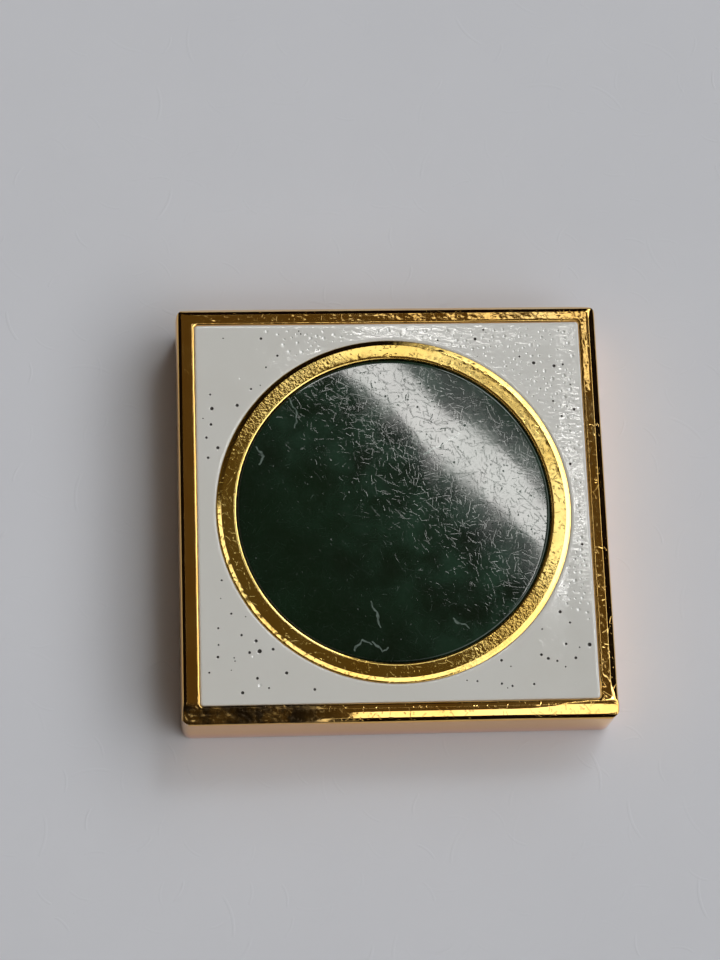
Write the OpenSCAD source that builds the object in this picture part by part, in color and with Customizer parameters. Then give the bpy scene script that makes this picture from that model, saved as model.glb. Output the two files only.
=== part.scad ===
// Square golf ball marker. A plated metal tray carries two enamel fills, parted by a metal
// ring that stands in a groove in the tray's floor. A disc magnet is glued into the back.
// The marker lies face up: z = 0 is its back, and the z axis runs through its centre.

/* [Tray] */
// Side of the square tray
tray_w = 20; // [19:0.5:26]
// Thickness of the tray, and of the whole marker
tray_t = 3.3; // [3.1:0.1:5]
// Radius of the four upright corners
corner_r = 0.5; // [0.45:0.05:0.8]
// Radius of the soft edge round the face
edge_r = 0.4; // [0.2:0.05:0.45]
// Chamfer round the back
foot_chamfer = 0.15; // [0.05:0.05:0.3]
// Width of the rim round the enamel, its soft edge included
rim_w = 0.9; // [0.8:0.05:1.2]
// Radius in the corners of the enamelled square
pocket_corner_r = 0.15; // [0.1:0.05:0.4]

/* [Ring] */
// Outer diameter of the divider ring
ring_d = 16.5; // [14.5:0.1:16.5]
// Width of the ring's flat top
ring_w = 0.95; // [0.6:0.05:1.2]
// Radius of the ring's two top edges
ring_edge_r = 0.12; // [0.05:0.01:0.2]
// Depth of the groove that holds the ring upright
groove_depth = 0.2; // [0.1:0.05:0.3]

/* [Enamel] */
// Thickness of the enamel fills
enamel_t = 0.9; // [0.6:0.05:1]
// How far the polished enamel lies below the metal
enamel_drop = 0.05; // [0:0.01:0.1]

/* [Magnet] */
// Diameter of the disc magnet
magnet_d = 12; // [8:1:14]
// Thickness of the disc magnet
magnet_t = 1; // [0.5:0.1:1]
// Gap round the magnet, so that it drops into its recess
magnet_gap = 0.1; // [0.05:0.05:0.2]
// How far the magnet lies inside the back
magnet_inset = 0.05; // [0.02:0.01:0.1]
// Thickness of the glue film under the magnet
glue_t = 0.1; // [0.05:0.01:0.15]

/* [Hidden] */
$fn = 96;

// Overshoot that lets a cutting tool break cleanly through a face
cut = 1;

field_w = tray_w - 2 * rim_w;
floor_z = tray_t - enamel_t - enamel_drop;
groove_z = floor_z - groove_depth;
ring_r = ring_d / 2;
ring_bore_r = ring_r - ring_w;
ring_h = tray_t - groove_z;
recess_r = magnet_d / 2 + magnet_gap;
recess_depth = magnet_inset + magnet_t + glue_t;
recess_chamfer = 0.15;
magnet_edge_r = 0.15;

// Square outline with round corners, centred on the axis
module rounded_square(side, r) {
    square([side, side - 2 * r], center = true);
    square([side - 2 * r, side], center = true);
    for (x = [-1, 1], y = [-1, 1])
        translate([x, y] * (side / 2 - r))
            circle(r);
}

// Upright section of the tray's wall: a soft edge at the face and a chamfer at the back
module wall_section() {
    polygon([
        [0, 0],
        [corner_r - foot_chamfer, 0],
        [corner_r, foot_chamfer],
        [corner_r, tray_t - edge_r],
        [corner_r - edge_r, tray_t],
        [0, tray_t]
    ]);
    intersection() {
        translate([corner_r - edge_r, tray_t - edge_r])
            circle(edge_r);
        square([corner_r, tray_t]);
    }
}

// The blank before it is pocketed: a core, four straight walls and four round corners
module blank() {
    inner_w = tray_w - 2 * corner_r;
    translate([0, 0, tray_t / 2])
        cube([inner_w, inner_w, tray_t], center = true);
    for (turn = [0 : 90 : 270])
        rotate(turn) {
            translate([inner_w / 2, 0, 0])
                rotate([90, 0, 0])
                    linear_extrude(inner_w, center = true)
                        wall_section();
            translate([inner_w / 2, inner_w / 2, 0])
                rotate_extrude(angle = 90)
                    wall_section();
        }
}

// Round recess in the back, with a small lead-in chamfer for the magnet
module magnet_recess() {
    translate([0, 0, -cut])
        cylinder(h = recess_depth + cut, r = recess_r);
    translate([0, 0, -recess_chamfer])
        cylinder(h = 2 * recess_chamfer, r1 = recess_r + 2 * recess_chamfer, r2 = recess_r);
}

module tray() {
    color("#c8973a")
        difference() {
            blank();
            translate([0, 0, floor_z])
                linear_extrude(enamel_t + enamel_drop + cut)
                    rounded_square(field_w, pocket_corner_r);
            translate([0, 0, groove_z])
                difference() {
                    cylinder(h = groove_depth + cut, r = ring_r);
                    translate([0, 0, -cut])
                        cylinder(h = groove_depth + 3 * cut, r = ring_bore_r);
                }
            magnet_recess();
        }
}

// Ring of flat strip on edge, seated in the groove, with its top polished level with the rim
module divider_ring() {
    color("#dcb548")
        translate([0, 0, groove_z])
            rotate_extrude() {
                translate([ring_bore_r, 0])
                    square([ring_w, ring_h - ring_edge_r]);
                translate([ring_bore_r + ring_edge_r, 0])
                    square([ring_w - 2 * ring_edge_r, ring_h]);
                for (x = [ring_bore_r + ring_edge_r, ring_r - ring_edge_r])
                    translate([x, ring_h - ring_edge_r])
                        circle(ring_edge_r);
            }
}

module white_enamel() {
    color("#e6e5df")
        translate([0, 0, floor_z])
            linear_extrude(enamel_t)
                difference() {
                    rounded_square(field_w, pocket_corner_r);
                    circle(ring_r);
                }
}

module green_enamel() {
    color("#0e2c1e")
        translate([0, 0, floor_z])
            cylinder(h = enamel_t, r = ring_bore_r);
}

// Disc magnet with rounded edges all round
module magnet() {
    color("#b9bcc0")
        translate([0, 0, magnet_inset])
            rotate_extrude() {
                square([magnet_d / 2 - magnet_edge_r, magnet_t]);
                translate([0, magnet_edge_r])
                    square([magnet_d / 2, magnet_t - 2 * magnet_edge_r]);
                for (y = [magnet_edge_r, magnet_t - magnet_edge_r])
                    translate([magnet_d / 2 - magnet_edge_r, y])
                        circle(magnet_edge_r);
            }
}

// Film between the magnet and the roof of its recess
module magnet_glue() {
    color("#c9b98a")
        translate([0, 0, magnet_inset + magnet_t])
            cylinder(h = glue_t, r = magnet_d / 2 - magnet_edge_r);
}

tray();
divider_ring();
white_enamel();
green_enamel();
magnet();
magnet_glue();
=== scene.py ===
"""A square enamelled golf ball marker, lying face up on pale paper under soft light."""

import math
import random

import bmesh
import bpy
from mathutils import Matrix, Vector, geometry, noise


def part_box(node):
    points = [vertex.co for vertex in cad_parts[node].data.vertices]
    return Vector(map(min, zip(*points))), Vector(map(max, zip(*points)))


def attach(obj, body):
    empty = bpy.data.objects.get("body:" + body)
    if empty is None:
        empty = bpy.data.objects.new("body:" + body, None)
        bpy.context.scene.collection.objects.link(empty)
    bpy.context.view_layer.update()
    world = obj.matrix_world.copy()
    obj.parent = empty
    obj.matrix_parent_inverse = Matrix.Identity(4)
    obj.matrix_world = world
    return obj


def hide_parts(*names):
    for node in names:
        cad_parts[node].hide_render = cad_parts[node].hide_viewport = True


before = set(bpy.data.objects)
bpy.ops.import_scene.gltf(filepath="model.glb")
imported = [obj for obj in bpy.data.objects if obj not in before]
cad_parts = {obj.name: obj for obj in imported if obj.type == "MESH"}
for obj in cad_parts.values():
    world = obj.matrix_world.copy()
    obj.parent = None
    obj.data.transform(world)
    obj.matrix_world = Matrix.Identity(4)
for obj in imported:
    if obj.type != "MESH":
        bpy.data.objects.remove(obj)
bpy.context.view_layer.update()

MM = 0.001  # the sizes below are in millimetres, and the meshes are in metres
SEED = 20


# ---------------------------------------------------------------- sizes from the frame

def box_mm(node):
    """A CAD node's lowest and highest corners, in millimetres."""
    low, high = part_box(node)
    return low / MM, high / MM


_, tray_high = box_mm("tray")
ring_low, ring_high = box_mm("divider_ring")
white_low, white_high = box_mm("white_enamel")
_, green_high = box_mm("green_enamel")
magnet_low, magnet_high = box_mm("magnet")
glue_low, glue_high = box_mm("magnet_glue")

HALF = tray_high.x
TOP = tray_high.z
FIELD_HALF = white_high.x
FLOOR_Z = white_low.z  # of the pocket that the enamel fills
ENAMEL_Z = white_high.z
RING_R = ring_high.x
BORE_R = green_high.x  # the ring's inside
GROOVE_Z = ring_low.z  # the bottom of the ring's groove
MAGNET_R = magnet_high.x
ROOF_Z = glue_high.z  # of the magnet's recess

# Roundings of the CAD tray, which the meshes repeat
CORNER_R = 0.5
FOOT_CHAMFER = 0.15
POCKET_CORNER_R = 0.15
RECESS_R = MAGNET_R + 0.1  # with the glue's gap round the magnet
RIM_W = HALF - FIELD_HALF


# ---------------------------------------------------------------- meshes from loops

SIDE_STEPS = 240
CORNER_STEPS = 12


def rounded_square(half, radius):
    """Points round a square with round corners, anticlockwise from its +X side's lower end."""
    points = []
    straight = half - radius
    for turn in range(4):
        spin = Matrix.Rotation(turn * math.pi / 2, 2)
        for i in range(SIDE_STEPS):
            points.append(spin @ Vector((half, straight * (2 * i / SIDE_STEPS - 1))))
        for i in range(CORNER_STEPS):
            a = math.pi / 2 * i / CORNER_STEPS
            corner = Vector((straight + radius * math.cos(a), straight + radius * math.sin(a)))
            points.append(spin @ corner)
    return points


OUTLINE_ANGLES = [math.atan2(p.y, p.x) for p in rounded_square(HALF, CORNER_R)]


def circle(radius, angles=OUTLINE_ANGLES):
    return [Vector((radius * math.cos(a), radius * math.sin(a))) for a in angles]


def mixed(a, b, t):
    return [p.lerp(q, t) for p, q in zip(a, b)]


def lift(points, z):
    """Puts a flat loop at a height, which is a number or a function of the point."""
    return [Vector((p.x, p.y, z(p) if callable(z) else z)) for p in points]


def loft(bm, loops, closed=False):
    """Joins loops of equal length with quads. A loop of one point is a pole."""
    rings = [[bm.verts.new(p * MM) for p in loop] for loop in loops]
    pairs = list(zip(rings, rings[1:]))
    if closed:
        pairs.append((rings[-1], rings[0]))
    for a, b in pairs:
        count = max(len(a), len(b))
        for i in range(count):
            j = (i + 1) % count
            if len(a) == 1:
                face = (a[0], b[j], b[i])
            elif len(b) == 1:
                face = (a[i], a[j], b[0])
            else:
                face = (a[i], a[j], b[j], b[i])
            bm.faces.new(face)


MERGE = 1e-4  # points closer than this become one
SHARP_DEG = 35  # edges at more than this angle aren't shaded smooth


def finish_mesh(name, bm, materials, replaced):
    """Turns a bmesh into a piece that rides on the one body and stands for its CAD node."""
    bmesh.ops.remove_doubles(bm, verts=bm.verts, dist=MERGE * MM)
    bmesh.ops.recalc_face_normals(bm, faces=bm.faces)
    mesh = bpy.data.meshes.new(name)
    bm.to_mesh(mesh)
    bm.free()
    for polygon in mesh.polygons:
        polygon.use_smooth = True
    mesh.set_sharp_from_angle(angle=math.radians(SHARP_DEG))
    for material in materials:
        mesh.materials.append(material)
    piece = bpy.data.objects.new(name, mesh)
    bpy.context.scene.collection.objects.link(piece)
    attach(piece, "root")
    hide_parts(replaced)
    return piece


def wobble(x, y, size, reach, seed=0.0):
    """Smooth noise of about +-reach over distances of about size."""
    return reach * noise.noise(Vector((x / size, y / size, seed)))


# ---------------------------------------------------------------- material tools

def add_node(tree, kind, inputs=None, **settings):
    """Adds a node. An input that is a socket is linked, and any other value is set."""
    made = tree.nodes.new("ShaderNode" + kind)
    for key, value in settings.items():
        setattr(made, key, value)
    for key, value in (inputs or {}).items():
        if isinstance(value, bpy.types.NodeSocket):
            tree.links.new(value, made.inputs[key])
        else:
            made.inputs[key].default_value = value
    return made


def maths(tree, operation, *values, clamp=False):
    made = add_node(tree, "Math", dict(enumerate(values)), operation=operation, use_clamp=clamp)
    return made.outputs[0]


def vector_maths(tree, operation, *values, output=0):
    made = add_node(tree, "VectorMath", dict(enumerate(values)), operation=operation)
    return made.outputs[output]


def ramp(tree, value, low, high, to_low=0.0, to_high=1.0):
    """A smooth step of value from low to high."""
    made = add_node(
        tree, "MapRange",
        {"Value": value, "From Min": low, "From Max": high, "To Min": to_low, "To Max": to_high},
        interpolation_type="SMOOTHSTEP",
    )
    return made.outputs["Result"]


def mix_colour(tree, factor, a, b):
    made = add_node(tree, "Mix", {"Factor": factor}, data_type="RGBA")
    for key, value in (("A_Color", a), ("B_Color", b)):
        socket = next(s for s in made.inputs if s.identifier == key)
        if isinstance(value, bpy.types.NodeSocket):
            tree.links.new(value, socket)
        else:
            socket.default_value = (*value, 1)
    return next(s for s in made.outputs if s.identifier == "Result_Color")


def stroke_group():
    """A node group that draws separate short strokes, one in some of the cells of a grid."""
    tree = bpy.data.node_groups.new("strokes", "ShaderNodeTree")
    tree.interface.new_socket("Vector", in_out="INPUT", socket_type="NodeSocketVector")
    for key in ("Cells per mm", "Half length", "Half width", "Bend", "Share", "Seed"):
        tree.interface.new_socket(key, in_out="INPUT", socket_type="NodeSocketFloat")
    tree.interface.new_socket("Mask", in_out="OUTPUT", socket_type="NodeSocketFloat")
    given = tree.nodes.new("NodeGroupInput").outputs
    out = tree.nodes.new("NodeGroupOutput")

    flat = vector_maths(tree, "MULTIPLY", given["Vector"], (1, 1, 0))
    shift = add_node(tree, "CombineXYZ", {"X": given["Seed"], "Y": given["Seed"]}).outputs[0]
    moved = vector_maths(tree, "ADD", flat, shift)
    cells = add_node(
        tree, "TexVoronoi", {"Vector": moved, "Scale": given["Cells per mm"]},
        voronoi_dimensions="2D", feature="F1",
    )
    offset = vector_maths(tree, "SUBTRACT", moved, cells.outputs["Position"])
    draw = add_node(tree, "SeparateColor", {"Color": cells.outputs["Color"]})
    angle = maths(tree, "MULTIPLY", draw.outputs["Red"], math.tau)
    turned = add_node(
        tree, "VectorRotate", {"Vector": offset, "Angle": angle}, rotation_type="Z_AXIS"
    ).outputs[0]
    along = add_node(tree, "SeparateXYZ", {"Vector": turned}).outputs
    curve = maths(tree, "MULTIPLY", maths(tree, "POWER", along["X"], 2.0), given["Bend"])
    across = maths(tree, "ABSOLUTE", maths(tree, "SUBTRACT", along["Y"], curve))
    length = maths(tree, "ABSOLUTE", along["X"])
    core = ramp(tree, maths(tree, "DIVIDE", across, given["Half width"]), 1.0, 0.3)
    ends = ramp(tree, maths(tree, "DIVIDE", length, given["Half length"]), 1.0, 0.6)
    kept = maths(tree, "LESS_THAN", draw.outputs["Green"], given["Share"])
    strength = maths(tree, "MULTIPLY_ADD", draw.outputs["Blue"], 0.7, 0.3)
    mask = maths(tree, "MULTIPLY", maths(tree, "MULTIPLY", core, ends), kept)
    mask = maths(tree, "MULTIPLY", mask, strength)
    tree.links.new(mask, out.inputs["Mask"])
    return tree


STROKES = stroke_group()


def strokes(tree, vector, cells, half_length, half_width, share, bend, seed):
    """Strokes in millimetres, with this many grid cells to each and strokes in a share of them."""
    made = tree.nodes.new("ShaderNodeGroup")
    made.node_tree = STROKES
    tree.links.new(vector, made.inputs["Vector"])
    values = {
        "Cells per mm": cells, "Half length": half_length, "Half width": half_width,
        "Bend": bend, "Share": share, "Seed": seed,
    }
    for key, value in values.items():
        made.inputs[key].default_value = value
    return made.outputs["Mask"]


def layered(tree, vector, layers):
    """Strokes in layers, each with what strokes() takes: cells, half length, and so on."""
    total, *others = [strokes(tree, vector, *layer) for layer in layers]
    for mask in others:
        total = maths(tree, "ADD", total, mask)
    return maths(tree, "MINIMUM", total, 1.0)


def new_material(name):
    """A material, its node tree, its Principled shader and its position in millimetres."""
    material = bpy.data.materials.new(name)
    material.use_nodes = True
    tree = material.node_tree
    shader = tree.nodes["Principled BSDF"]
    place = add_node(tree, "TexCoord").outputs["Object"]
    position = vector_maths(tree, "SCALE", place)
    position.node.inputs["Scale"].default_value = 1 / MM
    return material, tree, shader, position


def soft_noise(tree, position, size, detail=3.0, seed=0.0):
    """Noise from 0 to 1 whose features are about size millimetres across."""
    made = add_node(
        tree, "TexNoise", {"Vector": position, "Scale": 1 / size, "Detail": detail, "W": seed},
        noise_dimensions="4D",
    )
    return made.outputs["Fac"]


def bump(tree, height, depth, normal=None):
    """A bump whose full height is depth millimetres."""
    inputs = {"Height": height, "Strength": 1.0, "Distance": depth * MM}
    if normal is not None:
        inputs["Normal"] = normal
    return add_node(tree, "Bump", inputs).outputs[0]


# ---------------------------------------------------------------- materials

def gold_plate(name, colour, worn_share, crinkle):
    """Polished gold plate with polishing haze, dings and scratches, with painted reflections and a
    painted highlight on its walls and a painted dark patch on its near-left rim. crinkle is in
    millimetres.
    """
    material, tree, shader, position = new_material(name)
    axes = add_node(tree, "SeparateXYZ", {"Vector": position}).outputs
    round_walls = add_node(
        tree, "CombineXYZ", {"X": maths(tree, "ADD", axes["X"], axes["Y"]), "Y": axes["Z"]}
    ).outputs[0]
    facing = add_node(
        tree, "SeparateXYZ", {"Vector": add_node(tree, "NewGeometry").outputs["Normal"]}
    ).outputs
    level = ramp(tree, maths(tree, "ABSOLUTE", facing["Z"]), 0.35, 0.6)
    flank = maths(tree, "SUBTRACT", 1.0, level)

    def worn(vector, share, seed):
        return layered(tree, vector, (
            (2.6, 0.14, 0.03, share, 0.0, seed + 3),
            (1.7, 0.26, 0.025, share, 0.5, seed + 11),
            (4.2, 0.06, 0.035, share * 0.8, 0.0, seed + 23),
        ))

    on_top = worn(position, worn_share, 0)
    on_walls = worn(round_walls, worn_share * 0.25, 40)
    marks = maths(tree, "ADD", maths(tree, "MULTIPLY", on_top, level),
                  maths(tree, "MULTIPLY", on_walls, flank))
    patches = soft_noise(tree, position, 2.2, seed=5.0)
    marks = maths(tree, "MULTIPLY", marks, ramp(tree, patches, 0.38, 0.6, 0.25, 1.0))
    past_left_rim = ramp(tree, axes["X"], -9.0, -8.7, 0.15, 1.0)
    marks = maths(tree, "MULTIPLY", marks, past_left_rim)
    haze = soft_noise(tree, position, 0.5, detail=4.0, seed=2.0)
    tone = soft_noise(tree, position, 3.0, seed=9.0)
    warm = tuple(c * k for c, k in zip(colour, (0.93, 0.82, 0.62)))
    base = mix_colour(tree, ramp(tree, tone, 0.35, 0.7), colour, warm)

    # painted reflection: the walls take a deeper orange than the face
    base = mix_colour(tree, flank, base, WALL_PAINTED_REFLECTION)
    # painted reflection: low on the walls the gold turns pale pink, for the shaded paper it
    # reflects
    low = maths(tree, "MULTIPLY", ramp(tree, axes["Z"], 1.5, 0.1), flank)
    base = mix_colour(tree, low, base, LOW_WALL_PAINTED_REFLECTION)
    # painted highlight: the high far- and right-facing walls are lightened where they catch bright
    # light
    far_right = ramp(tree, maths(tree, "ADD", facing["X"], facing["Y"]), 0.1, 0.5)
    painted_edge_highlight = maths(tree, "MULTIPLY", far_right, flank)
    painted_edge_highlight = maths(tree, "MULTIPLY", painted_edge_highlight, ramp(tree, axes["Z"], 2.0, 3.2))
    base = mix_colour(tree, painted_edge_highlight, base, EDGE_PAINTED_HIGHLIGHT)

    # painted shade: the near-left rim's top is darkened in blotches and made rougher
    near_left = maths(tree, "MULTIPLY", ramp(tree, axes["Y"], -8.9, -9.15),
                      ramp(tree, axes["X"], -1.5, -5.0))
    painted_dark_patch = maths(tree, "MULTIPLY", near_left, ramp(tree, facing["Z"], 0.35, 0.6))
    blotch = ramp(tree, soft_noise(tree, position, 0.6, seed=21.0), 0.3, 0.6, 0.55, 1.0)
    painted_dark_patch = maths(tree, "MULTIPLY", painted_dark_patch, blotch)
    base = mix_colour(tree, painted_dark_patch, base, NEAR_LEFT_PAINTED_DARK)
    tree.links.new(base, shader.inputs["Base Color"])
    shader.inputs["Metallic"].default_value = 1.0
    rough = maths(tree, "ADD", ramp(tree, haze, 0.3, 0.7, 0.045, 0.085),
                  maths(tree, "MULTIPLY", marks, 0.1))
    rough = maths(tree, "MULTIPLY_ADD", painted_dark_patch, 0.12, rough)
    tree.links.new(rough, shader.inputs["Roughness"])

    waves = bump(tree, soft_noise(tree, position, 0.22, detail=1.0), 0.0011)
    diagonal = maths(tree, "ABSOLUTE", maths(tree, "SUBTRACT", axes["X"], axes["Y"]))
    crumpled = maths(tree, "MULTIPLY", soft_noise(tree, position, 0.13, detail=2.0, seed=33.0),
                     ramp(tree, diagonal, 9.3, 10.8))
    waves = bump(tree, crumpled, crinkle, waves)
    tree.links.new(bump(tree, marks, -0.0035, waves), shader.inputs["Normal"])
    return material


def line_marks(tree, position, paths, half_width):
    """A mask along some paths of straight steps, in millimetres."""
    nearest = None
    flat = vector_maths(tree, "MULTIPLY", position, (1, 1, 0))
    steps = [pair for path in paths for pair in zip(path, path[1:])]
    for (x0, y0), (x1, y1) in steps:
        step = Vector((x1 - x0, y1 - y0, 0))
        offset = vector_maths(tree, "SUBTRACT", flat, (x0, y0, 0))
        share = vector_maths(tree, "DOT_PRODUCT", offset, step / step.length_squared,
                             output="Value")
        foot = vector_maths(tree, "SCALE", tuple(step))
        tree.links.new(maths(tree, "ADD", share, 0.0, clamp=True), foot.node.inputs["Scale"])
        gap = vector_maths(tree, "DISTANCE", offset, foot, output="Value")
        nearest = gap if nearest is None else maths(tree, "MINIMUM", nearest, gap)
    return ramp(tree, nearest, half_width, half_width * 0.4)


def shaken(tree, position, cells, reach):
    """The position moved about smoothly: cells is the noise's scale in 1/mm, reach in mm."""
    shift = add_node(
        tree, "TexNoise", {"Vector": position, "Scale": cells, "Detail": 1.0}
    ).outputs["Color"]
    shift = vector_maths(tree, "SUBTRACT", shift, (0.5, 0.5, 0.5))
    shift = vector_maths(tree, "SCALE", shift)
    shift.node.inputs["Scale"].default_value = reach
    return vector_maths(tree, "ADD", position, shift)


def enamel(name, colour, shade, mist_colour, mark_colour, mark_share, wrinkle, gloss_ior,
           paths=()):
    """Polished glass enamel: a clear sharp gloss over a faint haze, with very fine scratches."""
    material, tree, shader, position = new_material(name)
    curved = shaken(tree, position, 0.35, 0.8)
    fine = layered(tree, curved, (
        (1.3, 0.40, 0.022, 0.8, 0.2, 1),
        (1.9, 0.28, 0.02, 0.8, -0.3, 13),
        (0.7, 0.8, 0.018, 0.7, 0.08, 29),
        (2.8, 0.18, 0.024, 0.8, 0.6, 47),
        (3.6, 0.14, 0.022, 0.8, -0.5, 71),
    ))
    scuffs = layered(tree, position, (
        (1.3, 0.16, 0.028, mark_share * 0.5, 1.2, 61),
        (2.4, 0.05, 0.03, mark_share * 0.4, 0.0, 83),
    ))

    axes = add_node(tree, "SeparateXYZ", {"Vector": position}).outputs
    worn_side = maths(tree, "MULTIPLY", axes["X"], 0.8)
    worn_side = maths(tree, "MULTIPLY_ADD", axes["Y"], 0.6, worn_side)
    handled = ramp(tree, worn_side, -5.0, 1.0, 0.15, 1.0)
    patches = ramp(tree, soft_noise(tree, position, 3.5, seed=7.0), 0.35, 0.65, 0.3, 1.0)
    scuffs = maths(tree, "MULTIPLY", scuffs, maths(tree, "MULTIPLY", patches, handled))
    drift = soft_noise(tree, position, 4.0, seed=3.0)
    base = mix_colour(tree, ramp(tree, drift, 0.3, 0.7), colour, shade)
    mist = ramp(tree, soft_noise(tree, curved, 1.4, detail=5.0, seed=17.0), 0.3, 0.75)
    mist = maths(tree, "MULTIPLY", mist, handled)
    base = mix_colour(tree, mist, base, mist_colour)
    seen = maths(tree, "MULTIPLY_ADD", fine, 0.02, maths(tree, "MULTIPLY", scuffs, 0.4))
    if paths:
        lines = line_marks(tree, shaken(tree, position, 3.0, 0.3), paths, 0.052)
        broken = ramp(tree, soft_noise(tree, position, 0.2, seed=41.0), 0.38, 0.5, 0.3, 0.6)
        seen = maths(tree, "MAXIMUM", seen, maths(tree, "MULTIPLY", lines, broken))
    base = mix_colour(tree, seen, base, mark_colour)
    tree.links.new(base, shader.inputs["Base Color"])

    haze = soft_noise(tree, position, 1.2, detail=5.0, seed=11.0)
    tree.links.new(ramp(tree, haze, 0.3, 0.7, 0.2, 0.32), shader.inputs["Roughness"])
    gloss = maths(tree, "MULTIPLY_ADD", scuffs, 0.15, ramp(tree, haze, 0.3, 0.7, 0.022, 0.04))
    tree.links.new(gloss, shader.inputs["Coat Roughness"])
    shader.inputs["Specular IOR Level"].default_value = 0.03
    shader.inputs["Coat Weight"].default_value = 1.0
    shader.inputs["Coat IOR"].default_value = gloss_ior

    ripple = bump(tree, soft_noise(tree, position, 0.5, detail=2.0, seed=13.0), 0.0002)
    stretched = vector_maths(tree, "MULTIPLY", curved, (0.3, 1, 1))
    folds = maths(tree, "MULTIPLY", soft_noise(tree, stretched, 0.14, detail=1.5, seed=19.0),
                  ramp(tree, worn_side, 2.5, 5.0))
    ripple = bump(tree, folds, wrinkle, ripple)
    scratched = bump(tree, fine, -0.0002, ripple)
    marked = bump(tree, scuffs, -0.0010, scratched)
    tree.links.new(marked, shader.inputs["Normal"])
    tree.links.new(marked, shader.inputs["Coat Normal"])
    return material


def pit_skin(name, size, seed, dark, pale, rough, ior):
    """The skin inside an open pit: dull polishing dirt, or glossy glass painted whiter than the
    enamel as a glint.
    """
    material, tree, shader, position = new_material(name)
    cloud = soft_noise(tree, position, size, seed=seed)
    tree.links.new(mix_colour(tree, cloud, dark, pale), shader.inputs["Base Color"])
    tree.links.new(ramp(tree, cloud, 0.3, 0.7, *rough), shader.inputs["Roughness"])
    shader.inputs["IOR"].default_value = ior
    return material


def nickel_plate():
    """Bright nickel with rub marks from the seats that it has stuck to."""
    material, tree, shader, position = new_material("nickel_plate")
    rubs = layered(tree, position, (
        (0.6, 0.9, 0.03, 0.6, 0.1, 5),
        (1.2, 0.4, 0.025, 0.6, -0.2, 31),
    ))
    tone = soft_noise(tree, position, 2.5, seed=4.0)
    base = mix_colour(tree, tone, (0.70, 0.68, 0.64), (0.60, 0.58, 0.55))
    tree.links.new(base, shader.inputs["Base Color"])
    shader.inputs["Metallic"].default_value = 1.0
    rough = maths(tree, "MULTIPLY_ADD", rubs, 0.2, 0.16)
    tree.links.new(rough, shader.inputs["Roughness"])
    grain = bump(tree, soft_noise(tree, position, 0.12, detail=3.0), 0.0008)
    tree.links.new(bump(tree, rubs, -0.003, grain), shader.inputs["Normal"])
    return material


def epoxy():
    """Cured amber epoxy with small bubbles."""
    material, tree, shader, position = new_material("epoxy")
    bubbles = strokes(tree, position, 1.5, 0.12, 0.12, 0.5, bend=0.0, seed=2)
    base = mix_colour(tree, bubbles, (0.58, 0.47, 0.24), (0.75, 0.68, 0.5))
    tree.links.new(base, shader.inputs["Base Color"])
    rough = ramp(tree, soft_noise(tree, position, 0.8), 0.3, 0.7, 0.2, 0.4)
    tree.links.new(rough, shader.inputs["Roughness"])
    tree.links.new(bump(tree, bubbles, 0.01), shader.inputs["Normal"])
    return material


def paper():
    """Pale uncoated paper with faint fibres."""
    material, tree, shader, position = new_material("paper")
    fibres = layered(tree, position, (
        (0.35, 1.1, 0.09, 0.5, 0.2, 7),
        (0.6, 0.6, 0.07, 0.5, -0.4, 19),
    ))
    tone = soft_noise(tree, position, 6.0, detail=4.0)
    base = mix_colour(tree, tone, PAPER_COLOUR, PAPER_SHADE)
    tree.links.new(base, shader.inputs["Base Color"])
    shader.inputs["Roughness"].default_value = 0.85
    shader.inputs["Specular IOR Level"].default_value = 0.2
    tree.links.new(bump(tree, fibres, 0.006), shader.inputs["Normal"])
    return material


# The longest scratches and scuffs on the green field, as paths in millimetres
GREEN_MARKS = (
    ((-4.95, 5.7), (-4.6, 5.2), (-4.4, 4.6), (-4.5, 4.0)),
    ((-1.2, -4.4), (-1.0, -5.0), (-0.85, -5.6)),
    ((-2.1, -6.7), (-1.7, -6.2), (-1.3, -6.4)),
    ((-1.2, -6.3), (-0.8, -6.8), (-0.5, -6.6)),
    ((1.5, 2.6), (2.4, 3.1), (3.2, 3.6)),
    ((2.5, -5.3), (3.2, -5.7)),
    ((-6.3, 3.0), (-6.0, 2.6), (-6.2, 2.2)),
)
GOLD_COLOUR = (0.95, 0.62, 0.21)
RING_COLOUR = (0.97, 0.72, 0.24)
# painted reflection: the walls are tinted a deeper orange than the face, for the paper that they
# reflect
WALL_PAINTED_REFLECTION = (0.95, 0.54, 0.17)
# painted reflection: low on the walls the gold turns pale pink, for the shaded paper beside them
LOW_WALL_PAINTED_REFLECTION = (0.88, 0.48, 0.34)  # low on the walls
# painted highlight: the high far- and right-facing walls are lightened where they catch bright
# light
EDGE_PAINTED_HIGHLIGHT = (0.95, 0.80, 0.66)  # high on the far and right walls
# painted shade: a dark blotchy patch on the near-left rim's top, for the dark that it reflects
# there
NEAR_LEFT_PAINTED_DARK = (0.08, 0.055, 0.03)
WHITE_COLOUR = (0.70, 0.695, 0.665)
WHITE_SHADE = (0.68, 0.67, 0.635)
WHITE_MARK = (0.74, 0.74, 0.72)
GREEN_COLOUR = (0.0012, 0.012, 0.004)
GREEN_SHADE = (0.0008, 0.008, 0.003)
GREEN_MIST = (0.014, 0.044, 0.026)
GREEN_MARK = (0.22, 0.28, 0.25)
PAPER_COLOUR = (0.72, 0.73, 0.78)
PAPER_SHADE = (0.69, 0.70, 0.75)

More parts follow.
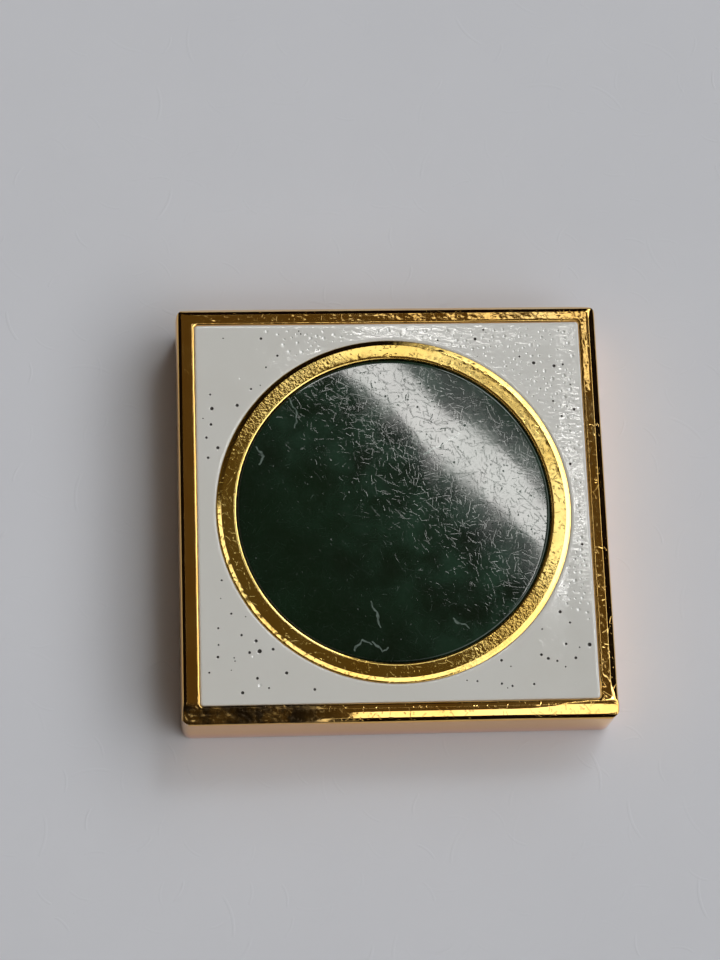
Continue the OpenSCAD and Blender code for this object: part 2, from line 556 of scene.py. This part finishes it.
tray_gold = gold_plate("gold_plate_tray", GOLD_COLOUR, worn_share=0.55, crinkle=0.0)
ring_gold = gold_plate("gold_plate_ring", RING_COLOUR, worn_share=0.5, crinkle=0.009)
white_glass = enamel("white_enamel_glass", WHITE_COLOUR, WHITE_SHADE, WHITE_COLOUR, WHITE_MARK,
                     mark_share=0.4, wrinkle=0.0065, gloss_ior=1.55)
green_glass = enamel("green_enamel_glass", GREEN_COLOUR, GREEN_SHADE, GREEN_MIST, GREEN_MARK,
                     mark_share=0.8, wrinkle=0.0001, gloss_ior=1.46, paths=GREEN_MARKS)
dirt = pit_skin("pinhole_grime", 0.05, 1.0, dark=(0.012, 0.011, 0.01), pale=(0.06, 0.05, 0.045),
                rough=(0.6, 0.85), ior=1.5)
# painted highlight: open bubbles are real pits, painted whiter than the enamel so that they show
# as glinting flecks
bubble_painted_glint = pit_skin("bubble_glass_painted_glint", 0.04, 6.0, dark=(0.82, 0.82, 0.79), pale=(0.94, 0.94, 0.92),
                  rough=(0.10, 0.25), ior=2.4)


# ---------------------------------------------------------------- the tray

class Dings:
    """Small round dents scattered over a strip of metal, which are looked up by grid cell."""

    CELL = 0.5

    def __init__(self, rng, places, sizes, depths):
        self.cells = {}
        for item in [(p, rng.uniform(*sizes), rng.uniform(*depths)) for p in places]:
            self.cells.setdefault(self.cell(item[0]), []).append(item)

    def cell(self, p):
        return math.floor(p.x / self.CELL), math.floor(p.y / self.CELL)

    def depth(self, p):
        cx, cy = self.cell(p)
        total = 0.0
        for i in (cx - 1, cx, cx + 1):
            for j in (cy - 1, cy, cy + 1):
                for place, size, depth in self.cells.get((i, j), ()):
                    gap = (place - p).length / size
                    if gap < 1:
                        total = max(total, depth * (1 - gap * gap) ** 2)
        return total


def rim_place(rng):
    """A random point on the rim."""
    along = rng.uniform(-HALF, HALF)
    across = HALF - rng.uniform(0.15, RIM_W)
    spin = Matrix.Rotation(rng.randrange(4) * math.pi / 2, 2)
    return spin @ Vector((across, along))


LIP_R = 0.13  # rounding of the rim's inner edge
EDGE_ZONE = 0.5  # the outer part of the rim, whose loops lie closer together outwards
EDGE_LOOPS = 21
FLAT_STEPS = 8
LIP_STEPS = 7
WALL_LOOPS = 7
LIP_START = RIM_W - LIP_R
BASE_DROP = 0.024  # keeps the highest point of the rim under the CAD top
BREAK = 0.004  # softness of the breaks between the rim's facets


class Side:
    """How one side of the rim is worn, with its angles in degrees.

    fall is its slope outwards, edge the width and height of its outside edge's round, chamfers
    the (width, slope) of each facet beside that edge, inner the inset and slope of the facet
    beside the enamel, and crinkle how uneven it is.
    """

    def __init__(self, fall, edge, chamfers, crinkle, inner=(RIM_W, 0.0)):
        self.fall = math.tan(math.radians(fall))
        self.edge_width, self.edge_height = edge
        self.chamfers = [(width, math.tan(math.radians(angle))) for width, angle in chamfers]
        self.inner_start, self.inner_slope = inner[0], math.tan(math.radians(inner[1]))
        self.crinkle = crinkle

    def edge_drop(self, inset):
        """The round of the outside edge."""
        if inset >= self.edge_width:
            return 0.0
        share = (self.edge_width - inset) / self.edge_width
        return self.edge_height * (1 - math.sqrt(max(0.0, 1 - share * share)))

    @staticmethod
    def facet_drop(reach, slope):
        """How far a facet has fallen at a distance past the break where it starts."""
        reach = max(0.0, reach)
        return slope * (reach - BREAK * (1 - math.exp(-reach / BREAK)))

    def worn_drop(self, inset, widened=0.0):
        """The chamfers, the first one widened, and the slope down to the enamel."""
        total = 0.0
        for i, (width, slope) in enumerate(self.chamfers):
            width += widened if i == 0 else 0.0
            total += self.facet_drop(width - inset, slope)
        return total + self.facet_drop(inset - self.inner_start, self.inner_slope)


RIGHT = Side(fall=3.4, edge=(0.12, 0.4), chamfers=[(0.40, 31)], crinkle=1.0)
FAR = Side(fall=-2.8, edge=(0.05, 0.10), chamfers=[(0.42, 28), (0.23, 45)], crinkle=1.4)
LEFT = Side(fall=1.5, edge=(0.14, 0.6), chamfers=[(0.29, 36), (0.14, 18)], crinkle=0.03)
NEAR = Side(fall=0.0, edge=(0.06, 0.14), chamfers=[(0.46, 24), (0.20, 24)], crinkle=0.5,
            inner=(0.62, 14))
RIM_BREAKS = (0.14, 0.20, 0.23, 0.29, 0.40, 0.42, 0.46, 0.62)  # the insets of their breaks
BREAK_LOOPS = (-0.009, -0.003, 0.003, 0.009)  # loops beside each break, which keep it crisp
MITRE = 90  # how sharply one side gives way to the next at a corner
CORNER_SHARE = 0.75  # how far the near side carries through both its corners
CORNER_WEAR = 0.14  # how far the far side's ends are rubbed back
CORNER_FALLOFF = 9  # how quickly that ends away from the corner
CORNER_WEAR_WIDTH = 0.5
SKIN = 0.0002  # keeps rounding errors inside the CAD tray's box

# Where the near side changes along x
NEAR_FACETED = (-6.0, -1.0)  # its facets fade in
NEAR_WIDENED = (5.0, 9.3)  # its first chamfer widens, by WIDENED in the end
NEAR_SMOOTH = (6.5, 8.0)  # its crinkle fades out
NEAR_SCUFFED = (-5.0, -2.0)  # its scuffed left end fades out
WIDENED = 0.30
SCUFF = 1.6

# The right side's stretch beyond these y values, which tips inwards and is ribbed
RIGHT_LIFTED = (5.0, 6.5)
LIFT_SLOPE = math.tan(math.radians(5.3))
LIFT_START = 0.5


def eased(value, low, high):
    t = min(1.0, max(0.0, (value - low) / (high - low)))
    return t * t * (3 - 2 * t)


def rim_drop(p):
    """How far the rim's top has worn down at a point."""
    insets = (HALF - p.x, HALF - p.y, HALF + p.x, HALF + p.y)
    sides = (RIGHT, FAR, LEFT, NEAR)
    reach = (p.x, p.y, -p.x, -p.y + CORNER_SHARE)
    weights = [max(0.0, d / HALF) ** MITRE for d in reach]
    total = sum(weights)
    right, _, _, near = weights = [w / total for w in weights]
    drop = max(side.edge_drop(max(0.0, inset)) for side, inset in zip(sides, insets))
    uneven = abs(wobble(p.x, p.y, 0.22, 0.0055, 3.0)) + wobble(p.x, p.y, 0.9, 0.006, 8.0)
    for side, inset, weight in zip(sides, insets, weights):
        faceted, widened, rough = 1.0, 0.0, side.crinkle
        if side is NEAR:
            faceted = eased(p.x, *NEAR_FACETED)
            widened = WIDENED * eased(p.x, *NEAR_WIDENED)
            rough *= 1 - eased(p.x, *NEAR_SMOOTH)
        sloped = side.fall * max(0.0, LIP_START - inset)
        drop += weight * (side.worn_drop(inset, widened) * faceted + sloped + rough * uneven)
    scuffed = SCUFF * (1 - eased(p.x, *NEAR_SCUFFED))
    drop += near * scuffed * abs(wobble(p.x, p.y, 0.24, 0.012, 12.0))
    lifted = right * eased(p.y, *RIGHT_LIFTED)
    from_lip = LIP_START - max(LIFT_START, min(LIP_START, insets[0]))
    drop -= lifted * LIFT_SLOPE * from_lip
    drop += lifted * abs(wobble(p.x * 0.3, p.y, 0.16, 0.006, 15.0))
    return max(0.0, BASE_DROP + drop)


RIM_DINGS = 420
DING_SIZES = (0.04, 0.11)  # also the ring's
SMOOTH_FROM = 7.0  # the near side has no dings beyond this x
RIM_SWAY = 0.02  # how uneven the rim's inner edge is in plan
WALL_WEAR = 0.012  # how far the walls are worn in


def tray():
    rng = random.Random(SEED)
    dings = Dings(rng, [rim_place(rng) for _ in range(RIM_DINGS)],
                  DING_SIZES, depths=(0.0005, 0.005))

    def outline(inset, sway=0.0):
        """The outline of the tray, some way in from its side."""
        radius = CORNER_R - inset * (CORNER_R - POCKET_CORNER_R) / RIM_W
        points = [p * (1 + wobble(p.x, p.y, 0.7, sway, inset) / HALF)
                  for p in rounded_square(HALF - SKIN - inset, radius)]
        share = max(0.0, 1 - inset / CORNER_WEAR_WIDTH)
        for p in points:
            cornered = (max(0.0, p.y) * abs(p.x) / HALF ** 2) ** CORNER_FALLOFF
            p.y -= CORNER_WEAR * share * cornered
        return points

    def top(p):
        """Height of the rim. Its left side and its near side's right end have no dings."""
        smooth = p.x < -HALF + RIM_W or (p.x > SMOOTH_FROM and p.y < -HALF + RIM_W)
        return TOP - rim_drop(p) - (0.0 if smooth else dings.depth(p))

    loops = [lift([Vector((0, 0))], ROOF_Z)]
    for share in (0.5, 1):
        loops.append(lift(circle(RECESS_R * share), ROOF_Z))
    for z in (ROOF_Z - 0.03, ROOF_Z / 2, FOOT_CHAMFER + 0.02):
        loops.append(lift(circle(RECESS_R), z))
    for t in (0, 1):
        loops.append(lift(circle(RECESS_R + FOOT_CHAMFER * t), FOOT_CHAMFER * (1 - t)))
    back_edge = outline(FOOT_CHAMFER)
    for t in (0.25, 0.5, 0.75, 1):
        loops.append(lift(mixed(circle(RECESS_R + FOOT_CHAMFER), back_edge, t), 0.0))
    for i in range(1, 5):
        a = math.pi / 2 * i / 4
        inset = FOOT_CHAMFER * (1 - math.sin(a))
        loops.append(lift(outline(inset), FOOT_CHAMFER * (1 - math.cos(a))))
    for i in range(1, WALL_LOOPS):
        share = i / WALL_LOOPS
        loop = []
        for p in outline(0):
            z = FOOT_CHAMFER + (top(p) - FOOT_CHAMFER) * share
            worn = abs(wobble(p.x, p.y, 3.0, WALL_WEAR, z)) * math.sin(math.pi * share)
            loop.append(Vector((p.x * (1 - worn / HALF), p.y * (1 - worn / HALF), z)))
        loops.append(loop)
    flat = LIP_START - EDGE_ZONE
    insets = [EDGE_ZONE * (i / EDGE_LOOPS) ** 2 for i in range(EDGE_LOOPS + 1)]
    insets += [EDGE_ZONE + flat * i / FLAT_STEPS for i in range(1, FLAT_STEPS + 1)]
    insets += [at + gap for at in RIM_BREAKS for gap in BREAK_LOOPS]
    for inset in sorted(insets):
        sway = RIM_SWAY * max(0.0, inset - EDGE_ZONE) / flat
        loops.append(lift(outline(inset, sway), top))
    for i in range(1, LIP_STEPS + 1):
        a = math.pi / 2 * i / LIP_STEPS
        inset = LIP_START + LIP_R * math.sin(a)
        drop = LIP_R * (1 - math.cos(a))
        lip = outline(inset, RIM_SWAY * math.cos(a))
        loops.append(lift(lip, lambda p, d=drop: top(p) - d))
    pocket = outline(RIM_W)
    loops.append(lift(pocket, FLOOR_Z + 0.03))
    for t in (0, 1):
        loops.append(lift(mixed(pocket, circle(RING_R), t), FLOOR_Z))
    loops.append(lift(circle(RING_R), GROOVE_Z))
    loops.append(lift(circle(BORE_R), GROOVE_Z))
    loops.append(lift(circle(BORE_R), FLOOR_Z))
    loops.append(lift(circle(BORE_R / 2), FLOOR_Z))
    loops.append(lift([Vector((0, 0))], FLOOR_Z))
    bm = bmesh.new()
    loft(bm, loops)
    return finish_mesh("tray_plated", bm, [tray_gold], "tray")


# ---------------------------------------------------------------- the divider ring

RING_STEPS = 900
OUTER_BEVEL = 0.25
OUTER_BEVEL_DROP = 0.0934
INNER_BEVEL = 0.11
INNER_BEVEL_DROP = 0.09
OUTER_EDGE_R = 0.03  # rounding of the ring's outer edge
FACE_Z = TOP - 0.002  # the ring's flat face
CROWN = 0.0018  # how much higher the middle of the face is
RING_DINGS = 230
RING_SWAY = 0.012  # how uneven the ring's edges are in plan
WORN_DEPTH = 0.12  # how far below the enamel that and the dings go on


def ring_section():
    """The ring's section as (radius, height), from the groove up its outside and back down."""
    edge_z = TOP - OUTER_BEVEL_DROP
    section = [(RING_R, GROOVE_Z), (RING_R, FLOOR_Z), (RING_R, edge_z - 2 * OUTER_EDGE_R)]
    for i in range(4):
        a = math.pi / 2 * i / 3
        section.append((RING_R - OUTER_EDGE_R * (1 - math.cos(a)),
                        edge_z - OUTER_EDGE_R * (1 - math.sin(a))))
    for t in (0.05, 0.3, 0.6, 0.95, 1.0):
        section.append((RING_R - OUTER_EDGE_R - (OUTER_BEVEL - OUTER_EDGE_R) * t,
                        FACE_Z - OUTER_BEVEL_DROP * (1 - t)))
    flat = RING_R - BORE_R - OUTER_BEVEL - INNER_BEVEL
    for t in (0.02, 0.1, 0.2, 0.3, 0.4, 0.5, 0.6, 0.7, 0.8, 0.9, 1.0):
        section.append((RING_R - OUTER_BEVEL - flat * t, FACE_Z + CROWN * 4 * t * (1 - t)))
    for i in range(1, 7):
        a = math.pi / 2 * i / 6
        section.append((BORE_R + INNER_BEVEL * (1 - math.sin(a)),
                        FACE_Z - INNER_BEVEL_DROP * (1 - math.cos(a))))
    return section + [(BORE_R, FLOOR_Z), (BORE_R, GROOVE_Z)]


def divider_ring():
    rng = random.Random(SEED + 1)
    angles = [math.tau * i / RING_STEPS for i in range(RING_STEPS)]
    places = []
    for _ in range(RING_DINGS):
        a, r = rng.uniform(0, math.tau), rng.uniform(BORE_R + 0.05, RING_R - 0.05)
        places.append(Vector((r * math.cos(a), r * math.sin(a))))
    dings = Dings(rng, places, DING_SIZES, depths=(0.0005, 0.004))

    loops = []
    for radius, z in ring_section():
        on_top = z > ENAMEL_Z - WORN_DEPTH
        loop = []
        for p in circle(radius, angles):
            point = p.copy()
            height = z
            if on_top:
                uneven = (wobble(p.x, p.y, 0.16, RING_SWAY, 2.0)
                          + wobble(p.x, p.y, 0.8, RING_SWAY, 5.0))
                if radius < BORE_R + INNER_BEVEL:
                    outward = max(0.0, uneven) * 0.5
                else:
                    carried = eased(radius, BORE_R + INNER_BEVEL, RING_R - OUTER_BEVEL)
                    outward = min(0.0, uneven) * carried
                point *= 1 + outward / radius
                height -= dings.depth(p)
            loop.append(Vector((point.x, point.y, height)))
        loops.append(loop)
    bm = bmesh.new()
    loft(bm, loops, closed=True)
    return finish_mesh("divider_ring_plated", bm, [ring_gold], "divider_ring")


# ---------------------------------------------------------------- the enamel

# A fill's edge against the metal: how far in, and how far below the polished level
EDGE_PROFILE = ((0.0, 0.075), (0.008, 0.045), (0.02, 0.024), (0.04, 0.010), (0.07, 0.003),
                (0.11, 0.0), (0.16, 0.0))
# The same for the green fill, which has shrunk from the ring
GAP_PROFILE = ((0.0, 0.15), (0.02, 0.10), (0.045, 0.05), (0.075, 0.017), (0.11, 0.004),
               (0.15, 0.0), (0.2, 0.0))
# A pit, as shares of its radius and depth
PIT_PROFILE = ((2.1, 0.0), (1.5, 0.0), (1.2, 0.03), (1.0, 0.14), (0.75, 0.55), (0.4, 0.9))
PIT_POINTS = 12
PIT_MATERIAL = 1.15  # how many radii a pit's own material reaches
# How many radii the pits keep clear of each other, the borders and the grid
PIT_CLEAR, BORDER_CLEAR, GRID_CLEAR = 2.15, 2.2, 2.4
GRID = 0.42  # spacing of the points between the pits
GRID_JITTER = 0.25  # how far they stray, as a share of it
GRID_MARGIN = 0.2  # how far they keep from the borders
WHITE_PITS = 330
GREEN_PITS = 110
DISH = 0.0007  # curvature of the green field, in 1/mm
CLIMB_RIGHT = 0.021  # how steeply the white field climbs to the right side of the rim
CLIMB_FAR = 0.016  # and to its far side
CLIMB_START = 7.9  # the x and y beyond which it climbs


def polished(x, y, seed):
    """Height of the polished surface, which is never quite flat."""
    wave = wobble(x, y, 7.0, 0.008, seed) + wobble(x, y, 2.2, 0.0012, seed + 9)
    radius = math.hypot(x, y)
    if radius < BORE_R:
        return ENAMEL_Z + wave + DISH * (radius ** 2 - BORE_R ** 2) / 2
    to_right, to_far = FIELD_HALF - max(x, CLIMB_START), FIELD_HALF - max(y, CLIMB_START)
    return ENAMEL_Z + wave - CLIMB_RIGHT * to_right - CLIMB_FAR * to_far


def fill_surface(bm, borders, inside, pits, seed):
    """Triangulates the polished surface between its borders, with every pit in it."""
    points, heights, edges = [], [], []

    def put(x, y, z):
        points.append(Vector((x, y)))
        heights.append(z)

    for loop in borders:
        first = len(points)
        for p in loop:
            put(p.x, p.y, p.z)
        count = len(loop)
        edges += [(first + i, first + (i + 1) % count) for i in range(count)]
    for x, y, radius, depth, _ in pits:
        put(x, y, polished(x, y, seed) - depth)
        for share, fall in PIT_PROFILE:
            for i in range(PIT_POINTS):
                a = math.tau * i / PIT_POINTS + share
                px = x + radius * share * math.cos(a)
                py = y + radius * share * math.sin(a)
                put(px, py, polished(px, py, seed) - depth * fall)

    rng = random.Random(seed)
    reach = int(FIELD_HALF / GRID) + 1
    for i in range(-reach, reach + 1):
        for j in range(-reach, reach + 1):
            x = (i + rng.uniform(-GRID_JITTER, GRID_JITTER)) * GRID
            y = (j + rng.uniform(-GRID_JITTER, GRID_JITTER)) * GRID
            clear = all(math.hypot(x - p[0], y - p[1]) > p[2] * GRID_CLEAR for p in pits)
            if clear and inside(x, y, GRID_MARGIN):
                put(x, y, polished(x, y, seed))

    verts, _, faces, origin, _, _ = geometry.delaunay_2d_cdt(points, edges, [], 1, 1e-7)
    made = [bm.verts.new(Vector((v.x, v.y, heights[o[0]])) * MM) for v, o in zip(verts, origin)]
    for face in faces:
        middle = sum((verts[i] for i in face), Vector((0, 0))) / len(face)
        if inside(middle.x, middle.y, 0.0):
            made_face = bm.faces.new([made[i] for i in face])
            for x, y, radius, _, dark in pits:
                if math.hypot(middle.x - x, middle.y - y) < radius * PIT_MATERIAL:
                    made_face.material_index = 1 if dark else 2


def scatter(rng, count, inside, sizes, dark_share, spread):
    """Pits as (x, y, radius, depth, dark), clear of each other and of the borders.

    dark_share and spread give the chances, at a place, that a pit is dark and that it is kept.
    """
    pits = []
    for _ in range(count * 30):
        if len(pits) == count:
            break
        x, y = rng.uniform(-FIELD_HALF, FIELD_HALF), rng.uniform(-FIELD_HALF, FIELD_HALF)
        size = rng.uniform(*sizes) * rng.uniform(0.7, 1.0)
        if not inside(x, y, 0.02 + size * BORDER_CLEAR) or rng.random() > spread(x, y):
            continue
        if all(math.hypot(x - p[0], y - p[1]) > (size + p[2]) * PIT_CLEAR for p in pits):
            dark = rng.random() < dark_share(x, y)
            depth = size * (rng.uniform(0.6, 1.0) if dark else rng.uniform(0.3, 0.9))
            pits.append((x, y, size, depth, dark))
    return pits


def border(outline, profile, direction, seed):
    """The loops of a fill's rounded edge. direction is +1 where the metal lies outside."""
    loops = []
    for inset, drop in profile:
        loop = [Vector((p.x, p.y, polished(p.x, p.y, seed) - drop))
                for p in outline(inset * direction)]
        loops.append(loop)
    return loops


def white_fill():
    rng = random.Random(SEED + 2)
    seed = 31

    def square(inset):
        return rounded_square(FIELD_HALF - inset, max(POCKET_CORNER_R - inset, 0.04))

    def hole(inset):
        return circle(RING_R - inset)

    def inside(x, y, margin):
        reach = EDGE_PROFILE[-1][0] + margin
        return max(abs(x), abs(y)) < FIELD_HALF - reach and math.hypot(x, y) > RING_R + reach

    def upper_right(x, y):
        return x + y > 3

    pits = scatter(rng, WHITE_PITS, inside, sizes=(0.03, 0.09),
                   dark_share=lambda x, y: 0.06 if upper_right(x, y) else 0.9,
                   spread=lambda x, y: 1.0 if upper_right(x, y) else 0.05)
    outer = border(square, EDGE_PROFILE, 1, seed)
    inner = border(hole, EDGE_PROFILE, -1, seed)
    bm = bmesh.new()
    base = [lift(square(0), FLOOR_Z), lift(hole(0), FLOOR_Z)]
    loft(bm, outer[::-1] + base + inner)
    fill_surface(bm, [outer[-1], inner[-1]], inside, pits, seed)
    return finish_mesh("white_enamel_fill", bm, [white_glass, dirt, bubble_painted_glint],
                       "white_enamel")


def green_fill():
    rng = random.Random(SEED + 3)
    seed = 57
    steps = 720
    angles = [math.tau * i / steps for i in range(steps)]

    def disc(inset):
        return circle(BORE_R - inset, angles)

    def inside(x, y, margin):
        return math.hypot(x, y) < BORE_R - GAP_PROFILE[-1][0] - margin

    pits = scatter(rng, GREEN_PITS, inside, sizes=(0.018, 0.035), dark_share=lambda x, y: 0.0,
                   spread=lambda x, y: 1.0 if x + y > 0 else 0.5)
    outer = border(disc, GAP_PROFILE, 1, seed)
    bm = bmesh.new()
    loft(bm, outer[::-1] + [lift(disc(0), FLOOR_Z), lift([Vector((0, 0))], FLOOR_Z)])
    fill_surface(bm, [outer[-1]], inside, pits, seed)
    return finish_mesh("green_enamel_fill", bm, [green_glass, dirt, green_glass],
                       "green_enamel")


# ---------------------------------------------------------------- the back

def turned(section, steps, name, material, slot, replaced):
    """A solid of revolution from its section, whose first and last points are on the axis."""
    angles = [math.tau * i / steps for i in range(steps)]
    loops = []
    for radius, z in section:
        ring = circle(radius, angles) if radius > 0 else [Vector((0, 0))]
        loops.append(lift(ring, z))
    bm = bmesh.new()
    loft(bm, loops)
    return finish_mesh(name, bm, [material], replaced)


def magnet():
    edge, steps = 0.15, 6
    section = [(0, magnet_low.z), (MAGNET_R / 2, magnet_low.z)]
    turns = [math.pi / 2 * i / steps for i in range(steps + 1)]
    for a in turns:
        section.append((MAGNET_R - edge * (1 - math.sin(a)),
                        magnet_low.z + edge * (1 - math.cos(a))))
    for a in turns:
        section.append((MAGNET_R - edge * (1 - math.cos(a)),
                        magnet_high.z - edge * (1 - math.sin(a))))
    section += [(MAGNET_R / 2, magnet_high.z), (0, magnet_high.z)]
    return turned(section, 180, "magnet_plated", nickel_plate(), "nickel_plate", "magnet")


def magnet_glue():
    radius, edge = glue_high.x, 0.05
    middle = (glue_low.z + glue_high.z) / 2
    section = [(0, glue_low.z), (radius - edge, glue_low.z), (radius, middle),
               (radius - edge, glue_high.z), (0, glue_high.z)]
    return turned(section, 120, "magnet_glue_film", epoxy(), "epoxy", "magnet_glue")


# ---------------------------------------------------------------- the setting

def floor():
    """The sheet of paper that the marker lies on."""
    bpy.ops.mesh.primitive_plane_add(size=2.0, location=(0, 0, 0))
    plane = bpy.context.object
    plane.name = "paper_floor"
    plane.data.materials.append(paper())


# The directions across and along the streak's lamp, as (right, away)
ACROSS = Vector((0.78, 0.625))
ALONG = Vector((0.625, -0.78))

# The light of the room
GLOW, GLOW_GAP = 1.4, -0.75
DOOR = 1.8
NEAR_WALL, FAR_WALL = 1.1, 2.1
SLIT_COLOUR = (1.7, 1.6, 1.5)
ROOM_DARK = (0.006, 0.004, 0.003)
ROOM_CEILING = (0.080, 0.056, 0.025)
BELOW = 0.5  # from under the floor, which only shows in a view without the floor


def soft_light(name, toward, distance, size, watts, colour):
    """An area light at toward = (right, away) for each unit of height, aimed at the marker."""
    direction = Vector((*toward, 1)).normalized()
    lamp = bpy.data.lights.new(name, "AREA")
    lamp.shape = "RECTANGLE"
    lamp.size, lamp.size_y = size
    lamp.energy = watts
    lamp.color = colour
    holder = bpy.data.objects.new(name, lamp)
    holder.location = direction * distance
    holder.rotation_euler = direction.to_track_quat("Z", "Y").to_euler()
    holder.visible_camera = False
    bpy.context.scene.collection.objects.link(holder)
    return holder


def tube_lamp(fills):
    """The narrow lamp overhead that draws the diagonal streak across the enamel fills."""
    height = 0.8
    centre = height * (0.279 * ACROSS - 0.17 * ALONG)
    along = Matrix.Rotation(math.radians(5), 2) @ ALONG
    lamp = soft_light("tube_lamp", toward=(0, 0), distance=height,
                      size=(0.36 * height, 0.0155 * height), watts=0.185,
                      colour=(1.0, 0.98, 0.94))
    lamp.location = (centre.x, centre.y, height)
    lamp.rotation_euler = (0, 0, math.atan2(along.y, along.x))
    lit_only = bpy.data.collections.new("streaked")
    for fill in fills:
        lit_only.objects.link(fill)
    lamp.light_linking.receiver_collection = lit_only


def room():
    """A dim warm room: a glow beside the tube lamp, a pale side wall, a door and a light slit.

    Each feature is placed by how far its direction runs to the right and away per unit of height.
    """
    world = bpy.data.worlds.new("room")
    world.use_nodes = True
    bpy.context.scene.world = world
    tree = world.node_tree
    background = tree.nodes["Background"]
    view = add_node(tree, "TexCoord").outputs["Generated"]
    axes = add_node(tree, "SeparateXYZ", {"Vector": view}).outputs
    height = maths(tree, "MAXIMUM", axes["Z"], 0.02)
    right = maths(tree, "DIVIDE", axes["X"], height)
    away = maths(tree, "DIVIDE", axes["Y"], height)

    def band(value, low, high, soft):
        rise = ramp(tree, value, low - soft, low)
        return maths(tree, "MULTIPLY", rise, ramp(tree, value, high + soft, high))

    def product(a, b):
        return maths(tree, "MULTIPLY", a, b)

    def along_axis(axis):
        return maths(tree, "ADD", product(right, axis.x), product(away, axis.y))

    def distance(a, b):
        return maths(tree, "SQRT", maths(tree, "ADD", maths(tree, "POWER", a, 2.0),
                                         maths(tree, "POWER", b, 2.0)))

    def grey(value):
        return add_node(tree, "CombineXYZ", {"X": value, "Y": value, "Z": value}).outputs[0]

    def brighter(a, b):
        return vector_maths(tree, "MAXIMUM", a, b)

    out = distance(right, away)
    across, along = along_axis(ACROSS), along_axis(ALONG)

    # the glow on the ceiling beside the tube lamp, with a darker gap in it
    glow = product(band(across, 0.270, 0.318, 0.010), band(along, -0.42, 0.06, 0.05))
    gap = product(band(across, 0.293, 0.308, 0.005), band(along, -0.195, -0.150, 0.015))
    glow = product(glow, maths(tree, "MULTIPLY_ADD", gap, GLOW_GAP, 1.0))

    # the wall on the right, brighter farther out, and the door behind the camera
    wall = maths(tree, "ADD", ramp(tree, right, 0.2, 0.6, 0.0, NEAR_WALL),
                 ramp(tree, right, 0.6, 1.4, 0.0, FAR_WALL))
    wall = product(band(out, 0.60, 2.2, 0.2), wall)
    door = product(band(away, -0.86, -0.60, 0.04), band(right, 0.08, 0.45, 0.03))
    pale = maths(tree, "MAXIMUM", wall, product(door, DOOR))
    pale = maths(tree, "MAXIMUM", pale, product(glow, GLOW))
    pale = vector_maths(tree, "MULTIPLY", grey(pale), (0.99, 1.0, 1.0))

    # the narrow arc of light that the ring's bevels pick up
    from_centre = distance(maths(tree, "MULTIPLY_ADD", right, 0.9, -0.079),
                           maths(tree, "SUBTRACT", away, 0.28))
    slit = product(band(from_centre, 0.915, 0.985, 0.015),
                   product(ramp(tree, away, 0.5, 0.4), ramp(tree, right, 0.6, 0.5)))
    warm = vector_maths(tree, "SCALE", SLIT_COLOUR)
    tree.links.new(slit, warm.node.inputs["Scale"])

    dim = mix_colour(tree, ramp(tree, out, 1.6, 0.8), ROOM_DARK, ROOM_CEILING)
    lit = brighter(brighter(pale, warm), dim)
    lit = brighter(lit, grey(ramp(tree, axes["Z"], -0.02, -0.3, 0.0, BELOW)))
    tree.links.new(lit, background.inputs["Color"])
    background.inputs["Strength"].default_value = 1.0


def camera():
    """A long lens, high over the marker's near side and a little to its left."""
    aim = Vector((-1.55, 1.39, 3.27)) * MM
    distance = 119.8 * MM
    elevation = math.radians(73.09)
    azimuth = math.radians(-104.19)
    roll = math.radians(12.79)
    away = Vector((math.cos(elevation) * math.cos(azimuth),
                   math.cos(elevation) * math.sin(azimuth), math.sin(elevation)))
    data = bpy.data.cameras.new("camera")
    data.lens = 96.8
    data.sensor_width = 36.0
    data.clip_start = 0.01
    data.clip_end = 10.0
    holder = bpy.data.objects.new("camera", data)
    holder.location = aim + away * distance
    turn = away.to_track_quat("Z", "Y").to_matrix() @ Matrix.Rotation(roll, 3, "Z")
    holder.rotation_euler = turn.to_euler()
    bpy.context.scene.collection.objects.link(holder)
    bpy.context.scene.camera = holder


camera()
tray()
divider_ring()
fills = [white_fill(), green_fill()]
magnet()
magnet_glue()
floor()
room()
tube_lamp(fills)
soft_light("far_softbox", toward=(0.40, 0.72), distance=0.6, size=(0.14, 0.14), watts=0.42,
           colour=(0.95, 1.0, 1.0))
soft_light("near_softbox", toward=(0.50, -0.28), distance=0.6, size=(0.2, 0.2), watts=0.15,
           colour=(0.99, 1.0, 1.0))
bpy.context.scene.view_settings.view_transform = "Standard"
